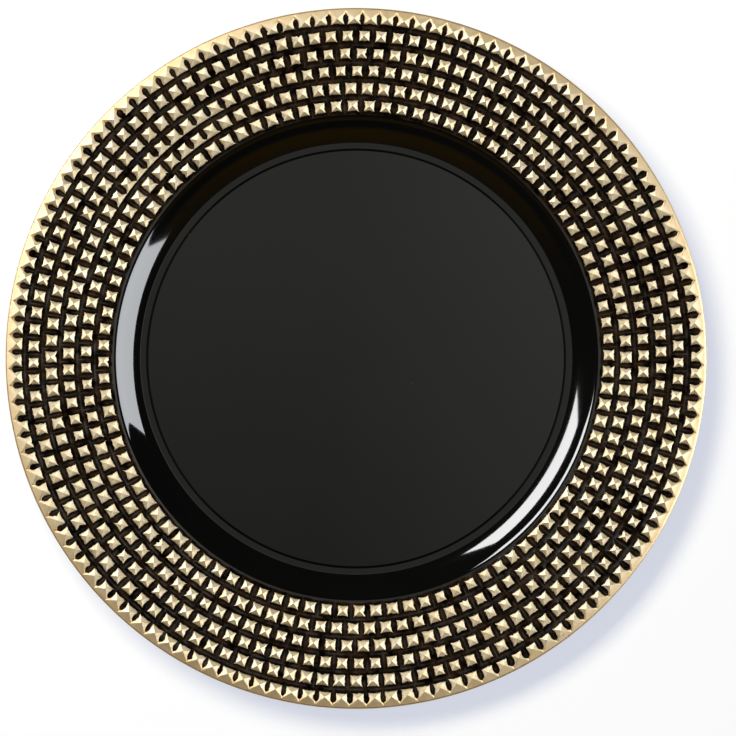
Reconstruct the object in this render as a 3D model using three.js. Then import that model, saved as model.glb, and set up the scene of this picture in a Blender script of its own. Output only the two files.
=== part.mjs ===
// Charger plate with a studded rim: a black moulded plate, six rows of gold pyramid studs and a gold edge band.
// Sizes are millimetres and Z is up. The plate stands on its foot ring at Z = 0, with the Z axis as its axis.
import * as THREE from "three";

// The plate as a whole
const PLATE_DIAMETER = 330;
const WALL = 2.8;
const FIT_GAP = 0.3; // between a gold piece and the plate behind it
const LATHE_STEPS = 72;

// Foot ring and the moulding gate in the middle of the underside
const FOOT_HEIGHT = 2;
const FOOT_WIDTH = 3.2;
const FOOT_DRAFT = 0.4; // extra width at the root of the foot, on each side
const FOOT_INSET = 5; // from the edge of the well in to the outside of the foot
const GATE_RADIUS = 5;
const GATE_DEPTH = 0.6;

// Groove around the well, and the low ledge outside it
const GROOVE_WIDTH = 1.1;
const GROOVE_DEPTH = 0.5;
const LEDGE_WIDTH = 2.85;
const LEDGE_RISE = 0.4;

// Shoulder: a hollow curve up from the ledge, turning over a soft lip onto the rim
const SHOULDER_WIDTH = 12.3; // with the lip
const SHOULDER_START = 21; // degrees
const SHOULDER_STEEPEST = 41; // degrees
const LIP_WIDTH = 3.5;
const ARC_STEPS = 4;

// Rim and its plain border inside the studs
const RIM_SLOPE = 5; // degrees
const BORDER_WIDTH = 1.7;

// Gold edge band: a thin skin over the edge of the rim, leaning down outwards
const EDGE_BAND_WIDTH = 1.3;
const EDGE_LEAN = 17; // degrees
const EDGE_SKIN = 0.5;
const EDGE_ROUND = 0.25;

// Stud rows, the outermost row first
const STUDS_PER_ROW = [128, 121, 115, 109, 103, 96];
const FIRST_STUD_ANGLE = [0.34, 2.24, 1.29, 0.62, 0.24, 0.74]; // degrees from +X
const ROW_INSET = 5; // from the plate's edge to the middle of the outermost row
const ROW_PITCH = 8.2;
const STUD_LENGTH = 5.8; // along the radius
const STUD_WIDTH = 5.2; // along the row
const STUD_HEIGHT = 1.6;
const LINK_WIDTH = 1; // the thin link that joins the studs of a row
const LINK_HEIGHT = 0.4;

// Radii that follow from the sizes above, from the edge inwards
const plateRadius = PLATE_DIAMETER / 2;
const rimOuterRadius = plateRadius - EDGE_SKIN - FIT_GAP;
const rowRadii = STUDS_PER_ROW.map((count, row) => plateRadius - ROW_INSET - row * ROW_PITCH);
const bandInnerRadius = plateRadius - EDGE_BAND_WIDTH;
const lipRadius = rowRadii.at(-1) - STUD_LENGTH / 2 - BORDER_WIDTH;
const shoulderFootRadius = lipRadius - SHOULDER_WIDTH;
const grooveOuterRadius = shoulderFootRadius - LEDGE_WIDTH;
const wellRadius = grooveOuterRadius - GROOVE_WIDTH;
const footOuterRadius = wellRadius - FOOT_INSET;
const footInnerRadius = footOuterRadius - FOOT_WIDTH;

// Heights that follow from the sizes above
const floorTop = FOOT_HEIGHT + WALL;
const ledgeTop = floorTop + LEDGE_RISE;

const radians = THREE.MathUtils.degToRad;
const rimSlope = radians(RIM_SLOPE);

// The shoulder as [radius, height, slope], from the ledge outwards: a hollow arc, then a lip that eases off
// from the steepest slope to the slope of the rim.
function shoulderLine() {
  const start = radians(SHOULDER_START);
  const steepest = radians(SHOULDER_STEEPEST);
  const hollowRadius = (SHOULDER_WIDTH - LIP_WIDTH) / (Math.sin(steepest) - Math.sin(start));
  const line = [];
  for (let step = 0; step <= ARC_STEPS; step += 1) {
    const slope = start + ((steepest - start) * step) / ARC_STEPS;
    const out = hollowRadius * (Math.sin(slope) - Math.sin(start));
    const up = hollowRadius * (Math.cos(start) - Math.cos(slope));
    line.push([shoulderFootRadius + out, ledgeTop + up, slope]);
  }
  const [turnRadius, turnHeight] = line.at(-1);
  const steepRise = Math.tan(steepest);
  const ease = steepRise - Math.tan(rimSlope);
  for (let step = 1; step <= ARC_STEPS; step += 1) {
    const share = step / ARC_STEPS;
    const slope = Math.atan(steepRise - ease * share ** 2);
    const up = LIP_WIDTH * (steepRise * share - (ease * share ** 3) / 3);
    line.push([turnRadius + LIP_WIDTH * share, turnHeight + up, slope]);
  }
  return line;
}

const shoulder = shoulderLine();
const lipHeight = shoulder.at(-1)[1];
const rimTop = (radius) => lipHeight + (radius - lipRadius) * Math.tan(rimSlope);
const rimUnderside = (radius) => rimTop(radius) - WALL / Math.cos(rimSlope);
const edgeTop = (radius) => rimTop(bandInnerRadius) - (radius - bandInnerRadius) * Math.tan(radians(EDGE_LEAN));

// Turns a closed [radius, height] outline about the Z axis.
function turned(outline) {
  const points = outline.map(([radius, height]) => new THREE.Vector2(radius, height));
  const geometry = new THREE.LatheGeometry(points, LATHE_STEPS);
  return geometry.rotateX(Math.PI / 2);
}

function plateBodyGeometry() {
  const underside = [
    [0, FOOT_HEIGHT + GATE_DEPTH],
    [GATE_RADIUS - GATE_DEPTH, FOOT_HEIGHT + GATE_DEPTH],
    [GATE_RADIUS, FOOT_HEIGHT],
    [footInnerRadius - FOOT_DRAFT, FOOT_HEIGHT],
    [footInnerRadius, 0],
    [footOuterRadius, 0],
    [footOuterRadius + FOOT_DRAFT, FOOT_HEIGHT],
    [grooveOuterRadius, FOOT_HEIGHT],
    ...shoulder.map(([radius, height, slope]) => [radius, height - WALL / Math.cos(slope)]),
    [rimOuterRadius, rimUnderside(rimOuterRadius)],
  ];
  const topSide = [
    [rimOuterRadius, edgeTop(rimOuterRadius)],
    [bandInnerRadius, rimTop(bandInnerRadius)],
    ...shoulder.map(([radius, height]) => [radius, height]).reverse(),
    [grooveOuterRadius, ledgeTop],
    [grooveOuterRadius - GROOVE_WIDTH / 2, floorTop - GROOVE_DEPTH],
    [wellRadius, floorTop],
    [0, floorTop],
  ];
  return turned([...underside, ...topSide]);
}

function edgeBandGeometry() {
  const seat = (radius) => edgeTop(radius) + FIT_GAP;
  const skinRadius = plateRadius - EDGE_SKIN;
  const roundRadius = plateRadius - EDGE_ROUND;
  const bottom = rimUnderside(plateRadius);
  const outline = [
    [bandInnerRadius, seat(bandInnerRadius)],
    [skinRadius, seat(skinRadius)],
    [skinRadius, bottom],
    [roundRadius, bottom],
    [plateRadius, bottom + EDGE_ROUND],
    [plateRadius, seat(roundRadius) + EDGE_SKIN - EDGE_ROUND],
    [roundRadius, seat(roundRadius) + EDGE_SKIN],
    [bandInnerRadius, seat(bandInnerRadius) + EDGE_SKIN],
  ];
  return turned([...outline, outline[0]]);
}

// Names of the points of one stud. Back and front are the sides that face the stud before it and the stud after it.
const STUD_POINTS = {
  apex: 0,
  innerBack: 1,
  outerBack: 2,
  outerFront: 3,
  innerFront: 4,
  backIn: 5,
  backOut: 6,
  backRidge: 7,
  frontIn: 8,
  frontOut: 9,
  frontRidge: 10,
};

// Triangles of one stud by point name, seen from outside. Names that start with "next" belong to the stud after it.
const STUD_FACES = [
  ["outerBack", "outerFront", "apex"],
  ["innerFront", "innerBack", "apex"],
  ["innerBack", "backIn", "backRidge"],
  ["innerBack", "backRidge", "apex"],
  ["apex", "backRidge", "outerBack"],
  ["backRidge", "backOut", "outerBack"],
  ["outerFront", "frontOut", "frontRidge"],
  ["outerFront", "frontRidge", "apex"],
  ["apex", "frontRidge", "innerFront"],
  ["frontRidge", "frontIn", "innerFront"],
  ["innerBack", "frontIn", "backIn"],
  ["innerBack", "innerFront", "frontIn"],
  ["backIn", "frontOut", "backOut"],
  ["backIn", "frontIn", "frontOut"],
  ["backOut", "outerFront", "outerBack"],
  ["backOut", "frontOut", "outerFront"],
  ["frontIn", "frontRidge", "next backRidge"],
  ["frontIn", "next backRidge", "next backIn"],
  ["frontOut", "next backOut", "next backRidge"],
  ["frontOut", "next backRidge", "frontRidge"],
  ["frontIn", "next backOut", "frontOut"],
  ["frontIn", "next backIn", "next backOut"],
];

// One row of studs as one solid: square pyramids around a circle, joined by thin links on the rim.
function studRowGeometry(rowRadius, outerReach, count, firstAngle) {
  const halfLength = STUD_LENGTH / 2;
  const halfWidth = STUD_WIDTH / 2;
  const halfLink = LINK_WIDTH / 2;
  const ridgeWidth = halfWidth * (1 - LINK_HEIGHT / STUD_HEIGHT);
  // Each point as [along the radius, along the row, above the seat], in the order of STUD_POINTS
  const stud = [
    [0, 0, STUD_HEIGHT],
    [-halfLength, -halfWidth, 0],
    [outerReach, -halfWidth, 0],
    [outerReach, halfWidth, 0],
    [-halfLength, halfWidth, 0],
    [-halfLink, -halfWidth, 0],
    [halfLink, -halfWidth, 0],
    [0, -ridgeWidth, LINK_HEIGHT],
    [-halfLink, halfWidth, 0],
    [halfLink, halfWidth, 0],
    [0, ridgeWidth, LINK_HEIGHT],
  ];
  const positions = [];
  for (let index = 0; index < count; index += 1) {
    const angle = firstAngle + (index * 2 * Math.PI) / count;
    for (const [out, along, up] of stud) {
      const radius = rowRadius + out;
      positions.push(
        radius * Math.cos(angle) - along * Math.sin(angle),
        radius * Math.sin(angle) + along * Math.cos(angle),
        rimTop(radius) + FIT_GAP + up,
      );
    }
  }
  const triangles = [];
  for (let index = 0; index < count; index += 1) {
    for (const face of STUD_FACES) {
      for (const name of face) {
        const isNext = name.startsWith("next ");
        const owner = isNext ? (index + 1) % count : index;
        triangles.push(owner * stud.length + STUD_POINTS[isNext ? name.slice(5) : name]);
      }
    }
  }
  const geometry = new THREE.BufferGeometry();
  geometry.setAttribute("position", new THREE.Float32BufferAttribute(positions, 3));
  geometry.setIndex(triangles);
  const faceted = geometry.toNonIndexed();
  faceted.computeVertexNormals();
  return faceted;
}

const blackGloss = new THREE.MeshStandardMaterial({ color: 0x0c0c0d, roughness: 0.12, metalness: 0 });
const goldFoil = new THREE.MeshStandardMaterial({ color: 0xd9b978, roughness: 0.3, metalness: 1 });

const plate = new THREE.Group();
plate.name = "charger_plate";

function addPiece(name, geometry, material) {
  const mesh = new THREE.Mesh(geometry, material);
  mesh.name = name;
  plate.add(mesh);
}

addPiece("plate_body", plateBodyGeometry(), blackGloss);
addPiece("gold_edge_band", edgeBandGeometry(), goldFoil);
rowRadii.forEach((rowRadius, row) => {
  // The facets of the outermost row run out to the edge band
  const outerReach = row === 0 ? bandInnerRadius - FIT_GAP - rowRadius : STUD_LENGTH / 2;
  const geometry = studRowGeometry(rowRadius, outerReach, STUDS_PER_ROW[row], radians(FIRST_STUD_ANGLE[row]));
  addPiece(`gold_stud_row_${row + 1}`, geometry, goldFoil);
});

export default plate;
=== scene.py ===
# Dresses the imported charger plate: a glossy black moulding with rows of gold-foiled pyramid studs on its rim.
# Lengths of the plate are millimetres, turned into the frame's metres as each mesh is made.
import math

import bmesh
import bpy
import numpy as np
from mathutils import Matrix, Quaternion, Vector


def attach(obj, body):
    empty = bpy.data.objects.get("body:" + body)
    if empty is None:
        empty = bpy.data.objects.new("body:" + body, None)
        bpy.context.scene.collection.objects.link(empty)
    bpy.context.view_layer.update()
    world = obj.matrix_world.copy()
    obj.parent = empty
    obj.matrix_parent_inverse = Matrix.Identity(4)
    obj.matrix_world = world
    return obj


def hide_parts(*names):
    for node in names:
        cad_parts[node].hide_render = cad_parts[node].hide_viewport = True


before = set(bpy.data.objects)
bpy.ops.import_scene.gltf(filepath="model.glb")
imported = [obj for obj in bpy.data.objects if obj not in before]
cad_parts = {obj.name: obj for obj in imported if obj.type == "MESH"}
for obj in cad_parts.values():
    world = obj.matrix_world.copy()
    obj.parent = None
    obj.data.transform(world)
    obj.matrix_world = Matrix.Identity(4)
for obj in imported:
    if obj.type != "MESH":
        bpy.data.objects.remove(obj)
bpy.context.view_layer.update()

MM = 0.001
BODY = "root"
WELD_DISTANCE = 0.0002
# A fixed seed, so that every run gives the same torn foil
chance = np.random.default_rng(7204)

# Sizes shared with the CAD source
PLATE_RADIUS = 165.0
WALL = 2.8
FOOT_HEIGHT = 2.0
FOOT_WIDTH = 3.2
FOOT_DRAFT = 0.4
FOOT_INSET = 5.0
GATE_RADIUS = 5.0
GATE_DEPTH = 0.6
GROOVE_WIDTH = 1.1
GROOVE_DEPTH = 0.5
LEDGE_WIDTH = 2.85
LEDGE_RISE = 0.4
SHOULDER_WIDTH = 12.3
SHOULDER_START = math.radians(21)
SHOULDER_STEEPEST = math.radians(41)
LIP_WIDTH = 3.5
RIM_SLOPE = math.radians(5)
LIP_INSET = 4.6
STUDS_PER_ROW = (128, 121, 115, 109, 103, 96)
FIRST_STUD_ANGLE = (0.34, 2.24, 1.29, 0.62, 0.24, 0.74)
ROW_INSET = 5.0
ROW_PITCH = 8.2

# Finer sizes that only the dressed plate has
LATHE_STEPS = 360
EDGE_STEPS = 720
ARC_STEPS = 16
LEDGE_FALL = 0.06
LEDGE_EASE = 0.4
GROOVE_FLAT = 0.2
GATE_NUB_RADIUS = 1.2
GATE_NUB_DRAFT = 0.3
GATE_NUB_HEIGHT = 0.4
# Rings that only divide the flat underside and the flat well
UNDERSIDE_RINGS = (30, 60)
WELL_RINGS = (80, 50, 20)
# Largest share of a side that the rounding of a corner may take
ROUNDING_SHARE = 0.45

# The studs and the plain outline of their foil
STUD_HEIGHT = 1.85
STUD_BED_DEPTH = 0.6
BED_CLEARANCE = 0.02
BED_MIDWAY = 0.45
# Depth of the bed's tips and flanks under the foil, in thicknesses of foil
BED_TIP_DEPTH = 8
BED_FLANK_DEPTH = 5
FOIL_SKIN = 0.025
FOIL_CLEARANCE = 0.005
FOIL = FOIL_SKIN + FOIL_CLEARANCE
FOIL_CUT_HEIGHT = 0.61
CAP_HALF_LENGTH = 2.44
CAP_HALF_WIDTH = 2.42
CAP_HOLLOW_ENDS = 0.055
CAP_HOLLOW_SIDES = 0.085
FACET_HOLLOW = 0.25
TIP_BLUNTING = 0.05
TIP_SHIFT = 0.06
# Rings of each foil skin, as shares of the way from the tip to the foil's edge
SKIN_RINGS = (0.07, 0.40, 0.72, 1.0)

# The outermost row, whose studs run out to the edge with slots between them; azimuths in degrees
EDGE_CAP_REACH = 4.1
EDGE_CAP_INNER = 1.04
EDGE_BED_SHORTER = 0.15
OUTER_END_FROM = 0.5
EDGE_CAP_SEAM = 0.01
SLOT_HALF_WIDTH = 1.455
SLOT_WIDTH_DRIFT = 0.28
SLOT_WIDEST = 159
SLOT_REACH = 2.42
SLOT_REACH_DRIFT = 0.36
SLOT_LONGEST = 320
SLOT_NECK = 0.28
SLOT_SINK = 0.45
SINK_START = 1.0
SINK_PAST_SLOT = 0.2
VALLEY_FILL = 0.7
FILL_START = 2.2
FILL_REACH = 3.3
# Where the rays beside a slot meet it, as shares of its length, for places on the unit square
SLOT_RAYS = (0, 0.23, 0.47, 0.7)
SLOT_RAY_SHARES = (0, 0.52, 0.87, 1)
LAST_SIDE_RAY = 0.92

# The gold edge and the black core inside it
EDGE_CORE_RADIUS = 164.9
EDGE_CORE_CHAMFER = 0.6
EDGE_CORE_DROP = 1.4
EDGE_CORE_LEAN = 0.3
EDGE_CORE_LEAN_RISE = 0.5
EDGE_SKIN = 0.06
EDGE_SKIN_LEAN = 0.7
EDGE_SEAT = 0.02
# Insets from the plate's radius of the gold's edge colour, and of the start and end of its turn down, which
# painted shade darkens
EDGE_TONE_INSET = 2.2
TURN_START_INSET = 0.8
TURN_END_INSET = 0.4
# The edge's bend, as (inset from the plate's radius, drop below the outer ends of the studs)
EDGE_BEND = ((1.2, 0.05), (0.88, 0.0), (0.6, 0.17), (0.04, 0.59), (0.0, 0.70), (0.0, 1.0))
# Its curl under the rim, as (inset from the plate's radius, height above the underside)
EDGE_CURL = ((0.0, 0.7), (0.2, 0.25), (0.6, 0.0))

# How the foil is torn, as shares of a stud's size
FOIL_WOBBLE = 0.07
CORNER_FLARE = 0.040
LONG_CORNER_CHANCE = 0.15
LONG_CORNER = (0.08, 0.20)
NICKS_PER_STUD = 0.9
NICK_DEPTH = (0.08, 0.22)
NICK_RAYS = (1, 4)
BARBS_PER_STUD = 0.8
BARB_LENGTH = (0.06, 0.17)
TORN_LIMIT = 1.25
EDGE_TORN_LIMIT = 1.12
UNTORN_FROM = 0.7

# How the size of the caps changes around the plate and along a row
SIZE_SWELL = 0.035
SIZE_SWELL_AZIMUTH = 195
SIZE_RIPPLE = 0.01
SIZE_RIPPLE_SHIFT = 1.7
SIZE_SCATTER = 0.012
PRESS_DRIFT = 0.060
# How much of each stud's own pressing reaches its neighbours, as (steps along the row, share)
PRESS_SPREAD = ((-2, 0.25), (-1, 0.5), (0, 0.65), (1, 0.5), (2, 0.25))

# Foil webs that join neighbouring studs, as (row, first azimuth, last azimuth)
FOIL_WEBS = ((3, 119, 146), (4, 120, 133), (5, 313, 327))
WEB_REACH = 2.65
WEB_GAP = 0.07
WEB_START = 0.40
WEB_CURVE = 1.6
WEB_UNTORN_FROM = 0.6

row_radii = [PLATE_RADIUS - ROW_INSET - row * ROW_PITCH for row in range(len(STUDS_PER_ROW))]
lip_radius = row_radii[-1] - LIP_INSET
shoulder_foot_radius = lip_radius - SHOULDER_WIDTH
groove_outer_radius = shoulder_foot_radius - LEDGE_WIDTH
well_radius = groove_outer_radius - GROOVE_WIDTH
foot_outer_radius = well_radius - FOOT_INSET
foot_inner_radius = foot_outer_radius - FOOT_WIDTH
floor_top = FOOT_HEIGHT + WALL
ledge_top = floor_top + LEDGE_RISE
bed_inner_radius = row_radii[-1] - ROW_PITCH / 2
bed_outer_radius = row_radii[0] + ROW_PITCH / 2


def shoulder_line():
    """The shoulder from the ledge out: a hollow arc, then a lip that eases onto the rim.

    Its points are (radius, height, slope).
    """
    start, steepest = SHOULDER_START, SHOULDER_STEEPEST
    hollow = (SHOULDER_WIDTH - LIP_WIDTH) / (math.sin(steepest) - math.sin(start))
    line = []
    for slope in np.linspace(start, steepest, ARC_STEPS):
        out = hollow * (math.sin(slope) - math.sin(start))
        up = hollow * (math.cos(start) - math.cos(slope))
        line.append((shoulder_foot_radius + out, ledge_top + up, slope))
    turn_radius, turn_height, _ = line[-1]
    rise = math.tan(steepest)
    ease = rise - math.tan(RIM_SLOPE)
    for t in np.linspace(0, 1, ARC_STEPS)[1:]:
        up = LIP_WIDTH * (rise * t - ease * t**3 / 3)
        line.append((turn_radius + LIP_WIDTH * t, turn_height + up, math.atan(rise - ease * t * t)))
    return line


shoulder = shoulder_line()
lip_height = shoulder[-1][1]


def rim_top(radius):
    return lip_height + (radius - lip_radius) * math.tan(RIM_SLOPE)


def rim_underside(radius):
    return rim_top(radius) - WALL / math.cos(RIM_SLOPE)


def slot_sink(radius):
    """How far the black of the outermost row drops below the rim towards the ends of its slots."""
    past_start = radius - row_radii[0] - SINK_START
    return SLOT_SINK * np.clip(past_start / (SLOT_REACH + SINK_PAST_SLOT - SINK_START), 0, 1)


def rounded(corners, steps=4):
    """A line of (radius, height, rounding) corners with each corner turned into a short curve."""
    line = []
    last = len(corners) - 1
    for index, (radius, height, rounding) in enumerate(corners):
        here = np.array((radius, height))
        if rounding == 0 or index in (0, last):
            line.append(tuple(here))
            continue
        before = np.array(corners[index - 1][:2]) - here
        after = np.array(corners[index + 1][:2]) - here
        reach_before = min(rounding, ROUNDING_SHARE * np.linalg.norm(before))
        reach_after = min(rounding, ROUNDING_SHARE * np.linalg.norm(after))
        start = here + before / np.linalg.norm(before) * reach_before
        end = here + after / np.linalg.norm(after) * reach_after
        for t in np.linspace(0, 1, steps):
            line.append(tuple((1 - t) ** 2 * start + 2 * t * (1 - t) * here + t * t * end))
    return line


def add_piece(name, points, faces, material, replaces=None, sharp=None):
    """Makes a mesh object of the plate from points in millimetres, creased past an angle in degrees."""
    mesh = bpy.data.meshes.new(name)
    mesh.from_pydata((np.asarray(points) * MM).tolist(), [], faces)
    shape = bmesh.new()
    shape.from_mesh(mesh)
    bmesh.ops.remove_doubles(shape, verts=shape.verts, dist=WELD_DISTANCE * MM)
    shape.to_mesh(mesh)
    shape.free()
    mesh.polygons.foreach_set("use_smooth", [True] * len(mesh.polygons))
    if sharp is not None:
        mesh.set_sharp_from_angle(angle=math.radians(sharp))
    mesh.materials.append(material)
    piece = bpy.data.objects.new(name, mesh)
    bpy.context.scene.collection.objects.link(piece)
    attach(piece, BODY)
    if replaces:
        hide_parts(replaces)


def turned(outline, steps):
    """Points and faces of an outline that starts and ends on the axis, turned about it."""
    angles = np.arange(steps) * 2 * math.pi / steps
    rings = outline[1:-1]
    points = [(0, 0, outline[0][1]), (0, 0, outline[-1][1])]
    for radius, height in rings:
        for angle in angles:
            points.append((radius * math.cos(angle), radius * math.sin(angle), height))
    faces = []
    for step in range(steps):
        after = (step + 1) % steps
        faces.append((0, 2 + after, 2 + step))
        for ring in range(len(rings) - 1):
            low = 2 + ring * steps
            high = low + steps
            faces.append((low + step, low + after, high + after, high + step))
        top = 2 + (len(rings) - 1) * steps
        faces.append((1, top + step, top + after))
    return points, faces


# Node helpers for the materials


class Nodes:
    """Short calls for building one material's or world's node tree."""

    def __init__(self, owner):
        owner.use_nodes = True
        self.tree = owner.node_tree
        self.tree.nodes.clear()

    def add(self, kind, inputs=None, **settings):
        made = self.tree.nodes.new(kind)
        for name, value in settings.items():
            setattr(made, name, value)
        for key, value in (inputs or {}).items():
            self.put(made.inputs[key], value)
        return made

    def put(self, socket, value):
        if isinstance(value, bpy.types.NodeSocket):
            self.tree.links.new(value, socket)
        else:
            socket.default_value = value

    def noise(self, vector, scale, detail=3.0, roughness=0.55, kind="FBM"):
        made = self.add("ShaderNodeTexNoise", noise_type=kind)
        self.put(made.inputs["Vector"], vector)
        self.put(made.inputs["Scale"], scale)
        self.put(made.inputs["Detail"], detail)
        self.put(made.inputs["Roughness"], roughness)
        return made.outputs["Fac"]

    def remap(self, value, low, high, new_low, new_high):
        made = self.add("ShaderNodeMapRange", {0: value, 1: low, 2: high, 3: new_low, 4: new_high})
        return made.outputs[0]

    def math(self, operation, first, second=0.0):
        made = self.add("ShaderNodeMath", {0: first, 1: second}, operation=operation)
        return made.outputs[0]

    def mix(self, factor, first, second):
        # A Mix node keeps its colours on its seventh and eighth inputs and its third output
        made = self.add("ShaderNodeMix", {"Factor": factor}, data_type="RGBA")
        self.put(made.inputs[6], first)
        self.put(made.inputs[7], second)
        return made.outputs[2]

    def blend(self, factor, first, second):
        made = self.add("ShaderNodeMix", {0: factor, 2: first, 3: second}, data_type="FLOAT")
        return made.outputs[0]

    def bump(self, height, strength, distance):
        made = self.add("ShaderNodeBump", {"Height": height, "Strength": strength, "Distance": distance})
        return made.outputs["Normal"]


def colour(red, green, blue):
    return (red, green, blue, 1.0)


def finished_material(name):
    """A new material with its shader joined to its output, and the place on the plate in metres."""
    material = bpy.data.materials.new(name)
    nodes = Nodes(material)
    shader = nodes.add("ShaderNodeBsdfPrincipled")
    output = nodes.add("ShaderNodeOutputMaterial")
    nodes.tree.links.new(shader.outputs["BSDF"], output.inputs["Surface"])
    place = nodes.add("ShaderNodeTexCoord").outputs["Object"]
    return material, nodes, shader, place


def black_gloss_material():
    """Polished black plastic above and a fine satin below, with hairline scratches and a little dust."""
    material, nodes, shader, place = finished_material("black_gloss_plastic")
    normal = nodes.add("ShaderNodeNewGeometry").outputs["Normal"]
    up = nodes.add("ShaderNodeSeparateXYZ", {0: normal}).outputs["Z"]
    below = nodes.remap(up, -0.35, -0.15, 1.0, 0.0)
    haze = nodes.noise(place, 14.0, 4.0)
    polish = nodes.remap(haze, 0.3, 0.7, 0.035, 0.075)
    lines = nodes.noise(place, 42.0, 5.0, 0.5, "RIDGED_MULTIFRACTAL")
    hairline = nodes.remap(lines, 1.35, 1.6, 0.0, 0.10)
    gloss = nodes.math("ADD", polish, hairline)
    satin = nodes.remap(nodes.noise(place, 900.0, 2.0), 0.3, 0.7, 0.30, 0.42)
    nodes.put(shader.inputs["Roughness"], nodes.blend(below, gloss, satin))
    cells = nodes.add("ShaderNodeTexVoronoi", {"Vector": place, "Scale": 260.0}).outputs["Distance"]
    patch = nodes.remap(nodes.noise(place, 55.0, 2.0), 0.60, 0.70, 0.0, 0.06)
    speck = nodes.math("LESS_THAN", cells, patch)
    depth = nodes.noise(place, 30.0, 3.0)
    clean = nodes.mix(depth, colour(0.0013, 0.0012, 0.0011), colour(0.0024, 0.0023, 0.0021))
    nodes.put(shader.inputs["Base Color"], nodes.mix(speck, clean, colour(0.045, 0.044, 0.042)))
    peel = nodes.noise(place, 120.0, 2.0)
    grain = nodes.math("MULTIPLY", below, nodes.noise(place, 2600.0, 2.0))
    height = nodes.math("ADD", nodes.math("MULTIPLY", peel, 0.05), grain)
    nodes.put(shader.inputs["Normal"], nodes.bump(height, 0.25, 0.00004))
    shader.inputs["IOR"].default_value = 1.7
    return material


def stud_bed_material():
    """The moulded black between the studs: browner in patches where the foil has left a haze, with painted
    shade that keeps the steep flanks near black, and shiny in patches.
    """
    material, nodes, shader, place = finished_material("stud_bed_plastic")
    normal = nodes.add("ShaderNodeNewGeometry").outputs["Normal"]
    up = nodes.add("ShaderNodeSeparateXYZ", {0: normal}).outputs["Z"]
    # Painted shade: the brown haze shows fully on the flat valleys and only faintly on the steep flanks, which
    # stay near black
    flats_lit_flanks_shaded = nodes.remap(up, 0.90, 0.985, 0.12, 1.0)
    patches = nodes.remap(nodes.noise(place, 210.0, 4.0), 0.40, 0.66, 0.0, 1.20)
    haze = nodes.math("MULTIPLY", flats_lit_flanks_shaded, patches)
    black = colour(0.0016, 0.0008, 0.0005)
    brown = colour(0.0245, 0.0136, 0.0066)
    nodes.put(shader.inputs["Base Color"], nodes.mix(haze, black, brown))
    shine = nodes.remap(nodes.noise(place, 240.0, 3.0), 0.40, 0.64, 0.0, 0.75)
    nodes.put(shader.inputs["Specular IOR Level"], shine)
    polish = nodes.remap(nodes.noise(place, 600.0, 3.0), 0.3, 0.7, 0.13, 0.22)
    nodes.put(shader.inputs["Roughness"], polish)
    nodes.put(shader.inputs["Normal"], nodes.bump(nodes.noise(place, 1500.0, 3.0), 0.35, 0.00006))
    shader.inputs["IOR"].default_value = 1.5
    return material


def gold_foil_material():
    """Hot-stamped gold foil: satin metal with a fine crinkle and small worn chips.

    It is deeper in colour towards the plate's edge, and smoothest where the edge turns down, where painted
    shade makes it deepest and darkest.
    """
    material, nodes, shader, place = finished_material("gold_foil_skin")
    tone = nodes.remap(nodes.noise(place, 150.0, 3.0), 0.32, 0.68, 0.0, 1.0)
    axes = nodes.add("ShaderNodeSeparateXYZ", {0: place}).outputs
    flat_place = nodes.add("ShaderNodeCombineXYZ", {0: axes["X"], 1: axes["Y"]}).outputs[0]
    radius = nodes.add("ShaderNodeVectorMath", {0: flat_place}, operation="LENGTH").outputs["Value"]
    at_edge = nodes.remap(radius, row_radii[0] * MM, (PLATE_RADIUS - EDGE_TONE_INSET) * MM, 0.0, 1.0)
    turn_start = (PLATE_RADIUS - TURN_START_INSET) * MM
    turn_end = (PLATE_RADIUS - TURN_END_INSET) * MM
    # Painted shade: where the edge turns down the gold darkens to a deep brown; it is also smoother there
    turn_shade_and_polish = nodes.remap(radius, turn_start, turn_end, 0.0, 1.0)
    stud_tone = nodes.mix(tone, colour(0.87, 0.71, 0.44), colour(0.94, 0.82, 0.585))
    edge_tone = nodes.mix(tone, colour(0.86, 0.65, 0.35), colour(0.91, 0.74, 0.47))
    top_tone = nodes.mix(at_edge, stud_tone, edge_tone)
    gold = nodes.mix(turn_shade_and_polish, top_tone, colour(0.66, 0.45, 0.20))
    chip_place = nodes.noise(place, 900.0, 3.0)
    chip_patch = nodes.remap(nodes.noise(place, 75.0, 2.0), 0.58, 0.72, 0.0, 0.16)
    chip = nodes.math("LESS_THAN", chip_place, nodes.math("ADD", chip_patch, 0.18))
    nodes.put(shader.inputs["Base Color"], nodes.mix(chip, gold, colour(0.010, 0.006, 0.003)))
    nodes.put(shader.inputs["Metallic"], nodes.remap(chip, 0.0, 1.0, 0.93, 0.0))
    satin = nodes.remap(nodes.noise(place, 420.0, 3.0), 0.3, 0.7, 0.55, 0.67)
    nodes.put(shader.inputs["Roughness"], nodes.blend(turn_shade_and_polish, satin, 0.30))
    nodes.put(shader.inputs["Normal"], nodes.bump(nodes.noise(place, 1900.0, 3.0), 0.30, 0.00007))
    shader.inputs["Coat Weight"].default_value = 0.35
    shader.inputs["Coat Roughness"].default_value = 0.45
    return material


black_gloss = black_gloss_material()
stud_bed_black = stud_bed_material()
gold_foil = gold_foil_material()


# The black moulding


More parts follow.
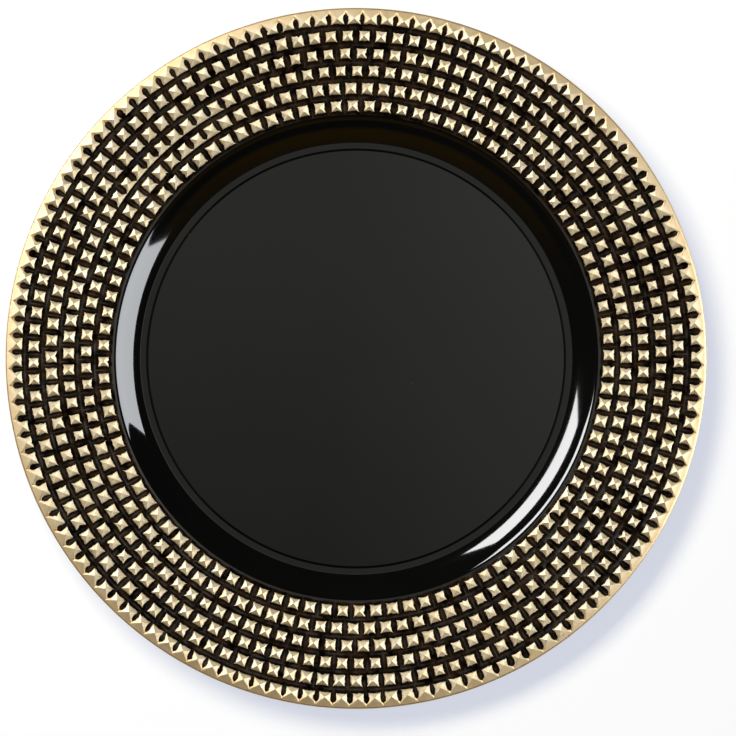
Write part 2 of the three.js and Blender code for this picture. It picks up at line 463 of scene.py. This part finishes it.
def plate_shell():
    """The whole moulding, with a shallow seat in the rim for the stud beds.

    Its outline runs from the axis out along the underside and back over the rim and the well.
    """
    gate_floor = FOOT_HEIGHT + GATE_DEPTH
    under = [
        (0, gate_floor - GATE_NUB_HEIGHT, 0),
        (GATE_NUB_RADIUS - GATE_NUB_DRAFT, gate_floor - GATE_NUB_HEIGHT, 0.25),
        (GATE_NUB_RADIUS, gate_floor, 0.15),
        (GATE_RADIUS - GATE_DEPTH, gate_floor, 0.2),
        (GATE_RADIUS, FOOT_HEIGHT, 0.2),
        *((radius, FOOT_HEIGHT, 0) for radius in UNDERSIDE_RINGS),
        (foot_inner_radius - FOOT_DRAFT, FOOT_HEIGHT, 0.6),
        (foot_inner_radius, 0, 0.5),
        (foot_outer_radius, 0, 0.5),
        (foot_outer_radius + FOOT_DRAFT, FOOT_HEIGHT, 0.6),
        (groove_outer_radius, FOOT_HEIGHT, 0.8),
    ]
    under += [(radius, height - WALL / math.cos(slope), 0) for radius, height, slope in shoulder]
    edge = EDGE_CORE_RADIUS
    rim = [
        (edge - EDGE_CORE_CHAMFER, rim_underside(edge - EDGE_CORE_CHAMFER), 0.4),
        (edge, rim_underside(edge) + EDGE_CORE_CHAMFER, 0.4),
        (edge, rim_top(edge) - EDGE_CORE_DROP, 0.3),
        (edge - EDGE_CORE_LEAN, rim_top(edge) - EDGE_CORE_DROP + EDGE_CORE_LEAN_RISE, 0.2),
        (bed_outer_radius, rim_top(bed_outer_radius) - STUD_BED_DEPTH - BED_CLEARANCE, 0),
        (bed_inner_radius, rim_top(bed_inner_radius) - STUD_BED_DEPTH - BED_CLEARANCE, 0),
        (bed_inner_radius, rim_top(bed_inner_radius), 0),
    ]
    upper = [(radius, height, 0) for radius, height, _ in reversed(shoulder[1:])]
    groove_middle = groove_outer_radius - GROOVE_WIDTH / 2
    well = [
        (shoulder_foot_radius, ledge_top, 0.2),
        (shoulder_foot_radius - LEDGE_EASE, ledge_top, 0),
        (groove_outer_radius + GROOVE_FLAT, ledge_top - LEDGE_FALL, 0),
        (groove_outer_radius, ledge_top - LEDGE_FALL, 0),
        (groove_middle, floor_top - GROOVE_DEPTH, 0),
        (well_radius, floor_top, 0),
        (well_radius - GROOVE_FLAT, floor_top, 0),
        *((radius, floor_top, 0) for radius in WELL_RINGS),
        (0, floor_top, 0),
    ]
    points, faces = turned(rounded(under + rim + upper + well), LATHE_STEPS)
    add_piece("plate_shell", points, faces, black_gloss, replaces="plate_body", sharp=35)


# The studs

# Points around one stud on a unit square, as (along the radius, along the row), from an outer corner round
SIDE_STEPS = (-1.0, -0.92, -0.7, -0.47, -0.23, 0.0, 0.23, 0.47, 0.7, 0.92)
square = [(1.0, s) for s in SIDE_STEPS] + [(-s, 1.0) for s in SIDE_STEPS]
square += [(-1.0, -s) for s in SIDE_STEPS] + [(s, -1.0) for s in SIDE_STEPS]
square = np.array(square)
RAYS = len(square)
on_end = np.array([index // len(SIDE_STEPS) in (0, 2) for index in range(RAYS)])
across = np.where(on_end, square[:, 1], square[:, 0])
corner_rays = np.arange(0, RAYS, len(SIDE_STEPS))


def hollowed(share):
    """How far each ray reaches on a contour whose sides bow in, by a share of the full hollow."""
    hollow = np.where(on_end, CAP_HOLLOW_ENDS, CAP_HOLLOW_SIDES) * share
    return 1.0 / (1.0 + hollow * (1.0 - across**2))


def facet_share(fraction):
    """Share of a facet's height lost from the tip at a fraction of the way to the foil's edge."""
    return fraction + FACET_HOLLOW * fraction * (1 - fraction)


def facet_drop(fraction):
    return (STUD_HEIGHT - FOIL_CUT_HEIGHT) * facet_share(fraction)


def stud_angles(row):
    count = STUDS_PER_ROW[row]
    return math.radians(FIRST_STUD_ANGLE[row]) + np.arange(count) * 2 * math.pi / count


def placed(row, angles, out, along, up, square_to_row=True):
    """Points of every stud in a row from offsets along the radius, along the row and above the rim."""
    radius = row_radii[row] + out
    turn = along / (radius if square_to_row else row_radii[row])
    angle = angles[:, None] + turn
    height = lip_height + (radius - lip_radius) * math.tan(RIM_SLOPE) + up
    height = np.broadcast_to(height, angle.shape)
    return np.stack((radius * np.cos(angle), radius * np.sin(angle), height), axis=-1)


def joined_rings(lower, upper, count):
    """Quads between two rings of points that run counter-clockwise, facing up if the second is wider."""
    step = np.arange(count)
    after = (step + 1) % count
    return np.stack((lower + step, upper + step, upper + after, lower + after), axis=-1)


def for_every_stud(faces, studs, points_per_stud):
    offsets = np.arange(studs)[:, None, None] * points_per_stud
    return (np.asarray(faces)[None] + offsets).reshape(-1, np.asarray(faces).shape[1]).tolist()


def stud_bed(row):
    """One ring of black studs: pyramids with hollow flanks on a flat valley, closed below."""
    angles = stud_angles(row)
    studs = len(angles)
    half_pitch = row_radii[row] * math.pi / studs
    rings = []
    tip = np.zeros((studs, 1))
    rings.append(placed(row, angles, tip, tip, STUD_HEIGHT - BED_TIP_DEPTH * FOIL))
    # Each contour as (fraction down the facet, reach past the foil's edge, share of the hollow, height)
    contours = (
        (BED_MIDWAY, 0.0, 1.0, STUD_HEIGHT - BED_FLANK_DEPTH * FOIL - facet_drop(BED_MIDWAY)),
        (1.0, 0.0, 1.0, FOIL_CUT_HEIGHT - FOIL),
        (1.0, 0.10, 1.0, 0.42),
        (1.0, 1.25, 0.3, 0.02),
    )
    half_length = np.full(RAYS, CAP_HALF_LENGTH)
    sink = slot_sink if row == 0 else np.zeros_like
    if row == 0:
        half_length[square[:, 0] > OUTER_END_FROM] = CAP_HALF_LENGTH - EDGE_BED_SHORTER
    for fraction, reach, share, height in contours:
        bow = hollowed(share) * fraction
        out = square[:, 0] * (half_length + reach) * bow
        along = square[:, 1] * (CAP_HALF_WIDTH + reach) * bow
        up = height - sink(row_radii[row] + out)
        rings.append(placed(row, angles, out[None], along[None], up[None]))
    out = square[:, 0] * ROW_PITCH / 2
    along = square[:, 1] * half_pitch
    up = -sink(row_radii[row] + out)
    rings.append(placed(row, angles, out[None], along[None], up[None], False))
    steps = len(SIDE_STEPS) + 1
    outer = np.arange(steps)
    inner = (np.arange(2 * len(SIDE_STEPS), 2 * len(SIDE_STEPS) + steps)) % RAYS
    for side in (outer, inner):
        rings.append(placed(row, angles, out[None, side], along[None, side], -STUD_BED_DEPTH, False))
    points = np.concatenate(rings, axis=1)
    per_stud = points.shape[1]
    fan = [(0, 1 + ray, 1 + (ray + 1) % RAYS) for ray in range(RAYS)]
    quads = [joined_rings(1 + RAYS * ring, 1 + RAYS * (ring + 1), RAYS) for ring in range(len(contours))]
    rim_start = 1 + RAYS * len(contours)
    outer_low = rim_start + RAYS
    inner_low = outer_low + steps
    walls = []
    for step in range(steps - 1):
        for side, low in ((rim_start + outer, outer_low), (rim_start + inner, inner_low)):
            walls.append((side[step], low + step, low + step + 1, side[step + 1]))
        mirrored = inner_low + steps - 1 - step
        walls.append((outer_low + step, mirrored, mirrored - 1, outer_low + step + 1))
    faces = for_every_stud(fan, studs, per_stud)
    faces += for_every_stud(np.concatenate(quads + [np.array(walls)]), studs, per_stud)
    name = f"stud_bed_{row + 1}"
    add_piece(name, points.reshape(-1, 3), faces, stud_bed_black, sharp=14)


def side_height(along):
    """Height above the rim of a stud's side facets, at a distance from the stud's middle line."""
    return STUD_HEIGHT - (STUD_HEIGHT - FOIL_CUT_HEIGHT) * along / CAP_HALF_WIDTH


edge_half_pitch = (row_radii[0] + EDGE_CAP_REACH) * math.pi / STUDS_PER_ROW[0]
edge_cap_height = side_height(edge_half_pitch)


def cap_outline(row, angles):
    """Where each ray meets the edge of a stud's foil: along the radius, along the row and above the rim."""
    bow = hollowed(1.0)
    out = square[:, 0] * CAP_HALF_LENGTH * bow
    along = square[:, 1] * CAP_HALF_WIDTH * bow
    height = np.full(RAYS, FOIL_CUT_HEIGHT)
    if row > 0:
        return out, along, height
    # The outermost studs run out to the gold edge, and meet past the round ends of the slots between them.
    # The slots are widest on two sides of the plate and longest on one
    round_plate = angles[:, None]
    slot_reach = SLOT_REACH + SLOT_REACH_DRIFT * np.cos(round_plate - math.radians(SLOT_LONGEST))
    beside_slot = slot_reach * np.interp(square[:, 0], SLOT_RAYS, SLOT_RAY_SHARES)
    past_slot = np.interp(square[:, 0], (LAST_SIDE_RAY, 1), (FILL_REACH, EDGE_CAP_REACH))
    reach = np.where(square[:, 0] >= LAST_SIDE_RAY, past_slot, beside_slot)
    out = np.where(square[:, 0] > 0, reach, out * EDGE_CAP_INNER)
    along_slot = np.clip(out / slot_reach, -1, 1)
    slot_width = SLOT_HALF_WIDTH + SLOT_WIDTH_DRIFT * np.cos(2 * (round_plate - math.radians(SLOT_WIDEST)))
    slot = slot_width * np.where(out > 0, (1 - along_slot**2) ** 0.5, 1 + SLOT_NECK * along_slot)
    half_pitch = (row_radii[0] + out) * math.pi / STUDS_PER_ROW[0]
    along = square[:, 1] * (half_pitch - slot - EDGE_CAP_SEAM)
    # Past the slot the valley between two studs fills up towards the plane of their outer facets
    outer_plane = STUD_HEIGHT - (STUD_HEIGHT - edge_cap_height) * out / EDGE_CAP_REACH
    fill = VALLEY_FILL * np.clip((out - FILL_START) / (FILL_REACH - FILL_START), 0, 1)
    side = side_height(np.abs(along))
    height = np.where(on_end, height, side + fill * np.maximum(outer_plane - side, 0))
    height = np.where(square[:, 0] == 1.0, edge_cap_height, height)
    return out, along, height


def ragged_edge(row, angles):
    """How far each stud's foil reaches along each ray, as a share of its plain outline."""
    studs = len(angles)
    wobble = chance.normal(0, FOIL_WOBBLE, (studs, RAYS))
    reach = 1.0 + 0.5 * wobble + 0.25 * (np.roll(wobble, 1, 1) + np.roll(wobble, -1, 1))
    reach[:, corner_rays] += chance.gamma(1.0, CORNER_FLARE, (studs, len(corner_rays)))
    for stud in range(studs):
        if chance.random() < LONG_CORNER_CHANCE:
            reach[stud, chance.choice(corner_rays)] += chance.uniform(*LONG_CORNER)
        for _ in range(chance.poisson(NICKS_PER_STUD)):
            start = chance.integers(RAYS)
            width = chance.integers(*NICK_RAYS)
            nick = (start + np.arange(width)) % RAYS
            reach[stud, nick] -= chance.uniform(*NICK_DEPTH)
        for _ in range(chance.poisson(BARBS_PER_STUD)):
            reach[stud, chance.integers(RAYS)] += chance.uniform(*BARB_LENGTH)
    # The foil was stamped harder in some places than in others, so neighbouring studs have caps of like size
    press = chance.normal(0, 1, studs)
    drift = PRESS_DRIFT * sum(share * np.roll(press, shift) for shift, share in PRESS_SPREAD)
    swell = SIZE_SWELL * np.cos(angles - math.radians(SIZE_SWELL_AZIMUTH))
    ripple = SIZE_RIPPLE * np.cos(3 * angles + row * SIZE_RIPPLE_SHIFT)
    size = 1.0 + swell + ripple + drift + chance.normal(0, SIZE_SCATTER, studs)
    reach = reach * size[:, None]
    if row == 0:
        reach[:, square[:, 0] >= UNTORN_FROM] = 1.0
        return np.minimum(reach, EDGE_TORN_LIMIT)
    return np.minimum(reach, TORN_LIMIT)


def web_share(row, angles):
    """One for each stud of a row whose foil a web joins to its neighbours, and nought for the rest."""
    azimuths = np.degrees(angles) % 360
    share = np.zeros((len(angles), 1))
    for web_row, first, last in FOIL_WEBS:
        if web_row == row:
            share[(azimuths >= first) & (azimuths <= last)] = 1.0
    return share


def foil_caps(row):
    """The gold foil on one row of studs: a thin closed skin on the top of each pyramid, torn at its edge."""
    angles = stud_angles(row)
    studs = len(angles)
    tilt_out = chance.normal(0, TIP_SHIFT, (studs, 1))
    tilt_along = chance.normal(0, TIP_SHIFT, (studs, 1))
    torn = ragged_edge(row, angles)
    edge_out, edge_along, edge_height = cap_outline(row, angles)
    web = web_share(row, angles)
    torn = np.where((web > 0) & (square[:, 0] < -WEB_UNTORN_FROM), 1.0, torn)
    # A web draws the inner corners out to the next stud and straightens the inner end between them
    half_pitch = row_radii[row] * math.pi / studs
    on_side = np.abs(square[:, 1]) == 1.0
    past_start = np.clip((-square[:, 0] - WEB_START) / (1 - WEB_START), 0, 1)
    towards_corner = np.where(on_side, past_start**WEB_CURVE, 0) * np.sign(square[:, 1])
    web_along = web * (half_pitch - CAP_HALF_WIDTH - WEB_GAP) * towards_corner
    web_out = web * np.where(square[:, 0] == -1.0, -WEB_REACH - edge_out, 0)
    skins = []
    for sink in (0.0, FOIL_SKIN):
        rings = [placed(row, angles, tilt_out, tilt_along, STUD_HEIGHT - TIP_BLUNTING - sink)]
        for fraction in SKIN_RINGS:
            share = torn if fraction == 1.0 else np.ones((studs, RAYS))
            out = edge_out * fraction * share + tilt_out * (1 - fraction)
            along = edge_along * fraction * share + tilt_along * (1 - fraction)
            if fraction == 1.0:
                out = out + web_out
                along = along + web_along
            up = STUD_HEIGHT - (STUD_HEIGHT - edge_height) * facet_share(fraction) * share - sink
            rings.append(placed(row, angles, out, along, up))
        skins.append(np.concatenate(rings, axis=1))
    points = np.concatenate(skins, axis=1)
    per_stud = points.shape[1]
    per_skin = per_stud // 2
    fan = [(0, 1 + ray, 1 + (ray + 1) % RAYS) for ray in range(RAYS)]
    fan += [(per_skin, per_skin + 1 + (ray + 1) % RAYS, per_skin + 1 + ray) for ray in range(RAYS)]
    quads = []
    for ring in range(len(SKIN_RINGS) - 1):
        top = joined_rings(1 + RAYS * ring, 1 + RAYS * (ring + 1), RAYS)
        quads += [top, top[:, ::-1] + per_skin]
    last = 1 + RAYS * (len(SKIN_RINGS) - 1)
    quads.append(joined_rings(last, last + per_skin, RAYS))
    faces = for_every_stud(fan, studs, per_stud)
    faces += for_every_stud(np.concatenate(quads), studs, per_stud)
    name = f"foil_caps_{row + 1}"
    node = f"gold_stud_row_{row + 1}"
    add_piece(name, points.reshape(-1, 3), faces, gold_foil, replaces=node, sharp=70)


def foil_edge():
    """The gold edge: a thin skin from under the outermost studs, down the side of the rim and under it."""
    outer = []
    inner = []
    for inset, drop in EDGE_BEND:
        radius = PLATE_RADIUS - inset
        height = rim_top(radius) + edge_cap_height - EDGE_SEAT - drop
        outer.append((radius, height))
        inner.append((radius - EDGE_SKIN * EDGE_SKIN_LEAN, height - EDGE_SKIN))
    for inset, rise in EDGE_CURL:
        radius = PLATE_RADIUS - inset
        height = rim_underside(PLATE_RADIUS) + rise
        outer.append((radius, height))
        inner.append((radius - EDGE_SKIN, height + EDGE_SKIN * EDGE_SKIN_LEAN))
    loop = outer + inner[::-1]
    angles = np.arange(EDGE_STEPS) * 2 * math.pi / EDGE_STEPS
    points = []
    for radius, height in loop:
        heights = np.full(EDGE_STEPS, height)
        points.append(np.stack((radius * np.cos(angles), radius * np.sin(angles), heights), axis=-1))
    faces = []
    for ring in range(len(loop)):
        following = (ring + 1) % len(loop)
        faces += joined_rings(ring * EDGE_STEPS, following * EDGE_STEPS, EDGE_STEPS).tolist()
    points = np.concatenate(points)
    add_piece("foil_edge", points, faces, gold_foil, replaces="gold_edge_band", sharp=40)


plate_shell()
for row_index in range(len(STUDS_PER_ROW)):
    stud_bed(row_index)
for row_index in range(len(STUDS_PER_ROW)):
    foil_caps(row_index)
foil_edge()


# Floor, light and camera, in metres and degrees unless a name says millimetres
FLOOR_SIZE = 16
FLOOR_DROP = 0.0001
LAMP_DISTANCE = 2.6
CAMERA_PLACE = (0.0056, -0.0045, 2.903)
CAMERA_LENS_MM = 300
CAMERA_SENSOR_MM = 36
NO_LIGHT = (0.0, 0.0, 0.0, 1.0)


def pale_floor():
    """A pale floor that looks white to the camera and in reflections, and still takes the plate's shadow."""
    bpy.ops.mesh.primitive_plane_add(size=FLOOR_SIZE, location=(0, 0, -FLOOR_DROP))
    floor = bpy.context.object
    floor.name = "studio_floor"
    material = bpy.data.materials.new("studio_floor_white")
    nodes = Nodes(material)
    plain = nodes.add("ShaderNodeBsdfDiffuse", {"Color": colour(0.86, 0.86, 0.87)})
    shaded = nodes.add("ShaderNodeBsdfDiffuse", {"Color": colour(0.41, 0.375, 0.275)})
    glow = nodes.add("ShaderNodeEmission", {"Color": colour(0.60, 0.635, 0.735)})
    white = nodes.add("ShaderNodeAddShader", {0: shaded.outputs[0], 1: glow.outputs[0]})
    ray = nodes.add("ShaderNodeLightPath").outputs
    seen = nodes.math("MAXIMUM", ray["Is Camera Ray"], ray["Is Glossy Ray"])
    seen = nodes.math("MAXIMUM", seen, ray["Is Transmission Ray"])
    floor_look = nodes.add("ShaderNodeMixShader", {0: seen, 1: plain.outputs[0], 2: white.outputs[0]})
    output = nodes.add("ShaderNodeOutputMaterial")
    nodes.tree.links.new(floor_look.outputs[0], output.inputs["Surface"])
    floor.data.materials.append(material)


def softbox(name, azimuth, elevation, wide, tall, radiance, tint=(1, 1, 1), lean=0, reflected=True):
    """A soft lamp by its direction, its spread, its brightness and how far it leans over the plate.

    A reflected lamp shows in gloss and metal alone. One that isn't lights the matt surfaces and casts the
    shadow.
    """
    around = math.radians(azimuth)
    up = math.radians(elevation)
    direction = Vector((math.cos(around) * math.cos(up), math.sin(around) * math.cos(up), math.sin(up)))
    place = direction * LAMP_DISTANCE
    lamp = bpy.data.lights.new(name, "AREA")
    lamp.shape = "RECTANGLE"
    lamp.size = 2 * LAMP_DISTANCE * math.tan(math.radians(wide / 2))
    lamp.size_y = 2 * LAMP_DISTANCE * math.tan(math.radians(tall / 2))
    lamp.energy = radiance * math.pi * lamp.size * lamp.size_y
    lamp.color = tint
    lamp_object = bpy.data.objects.new(name, lamp)
    lamp_object.location = place
    facing = (-place).to_track_quat("-Z", "Y") @ Quaternion((1, 0, 0), -math.radians(lean))
    lamp_object.rotation_euler = facing.to_euler()
    lamp_object.visible_camera = False
    lamp_object.visible_glossy = reflected
    lamp_object.visible_diffuse = not reflected
    bpy.context.scene.collection.objects.link(lamp_object)


def studio_world():
    """The room that the plate mirrors: a dim ceiling with soft gradients, and darkness below it."""
    world = bpy.data.worlds.new("studio")
    bpy.context.scene.world = world
    nodes = Nodes(world)
    direction = nodes.add("ShaderNodeTexCoord").outputs["Generated"]
    axes = nodes.add("ShaderNodeSeparateXYZ", {0: direction}).outputs
    # The middle of the ceiling, which the flat well mirrors, brighter to the right and to the back
    sideways = nodes.remap(axes["X"], -0.004, 0.034, 0.275, 0.41)
    upwards = nodes.remap(axes["Y"], -0.036, 0.025, -0.11, 0.035)
    middle = nodes.mix(nodes.math("ADD", sideways, upwards), NO_LIGHT, colour(0.98, 1.0, 0.91))
    # The ceiling around it, brighter at the sides than in front and behind, and towards the back right
    along_x = nodes.math("POWER", nodes.math("ABSOLUTE", axes["X"]), 2.0)
    along_y = nodes.math("POWER", nodes.math("ABSOLUTE", axes["Y"]), 2.0)
    side_bright = nodes.remap(nodes.math("SUBTRACT", along_x, along_y), -0.018, 0.018, 0.15, 0.56)
    to_right = nodes.math("MULTIPLY", axes["X"], 0.6)
    to_back_right = nodes.math("ADD", to_right, nodes.math("MULTIPLY", axes["Y"], 0.87))
    back_bright = nodes.remap(to_back_right, -0.17, 0.17, -0.17, 0.24)
    around_bright = nodes.math("MAXIMUM", nodes.math("ADD", side_bright, back_bright), 0.0)
    around = nodes.mix(around_bright, NO_LIGHT, colour(1.05, 1.0, 0.86))
    ceiling = nodes.mix(nodes.remap(axes["Z"], 0.9945, 0.998, 0.0, 1.0), around, middle)
    # The dark walls, with a warm glow in front that the front facets of the studs mirror
    in_front = nodes.remap(axes["Y"], -0.85, -0.25, 1.0, 0.0)
    warm = nodes.math("MULTIPLY", in_front, nodes.remap(axes["Z"], 0.28, 0.42, 0.0, 1.0))
    walls = nodes.mix(warm, colour(0.018, 0.018, 0.018), colour(0.105, 0.058, 0.003))
    overhead = nodes.remap(axes["Z"], 0.915, 0.95, 0.0, 1.0)
    room = nodes.mix(overhead, walls, ceiling)
    background = nodes.add("ShaderNodeBackground", {"Color": room})
    output = nodes.add("ShaderNodeOutputWorld")
    nodes.tree.links.new(background.outputs[0], output.inputs["Surface"])


def top_camera():
    """Straight above the plate, which sits a little left of and above the middle of the picture."""
    data = bpy.data.cameras.new("camera")
    data.lens = CAMERA_LENS_MM
    data.sensor_width = CAMERA_SENSOR_MM
    camera = bpy.data.objects.new("camera", data)
    camera.location = CAMERA_PLACE
    bpy.context.scene.collection.objects.link(camera)
    bpy.context.scene.camera = camera


pale_floor()
# Azimuth and elevation, width and height of the lamp as seen from the plate, and brightness
softbox("overhead_softbox", 131, 52, 36, 19, 18.5, reflected=False)
softbox("key_softbox", 145.3, 29.9, 37.7, 23.6, 12.2, lean=31.3)
softbox("side_softbox", -6.2, 21.5, 44, 33, 6.8, tint=(0.93, 0.96, 1.0))
studio_world()
top_camera()
bpy.context.scene.view_settings.view_transform = "Standard"
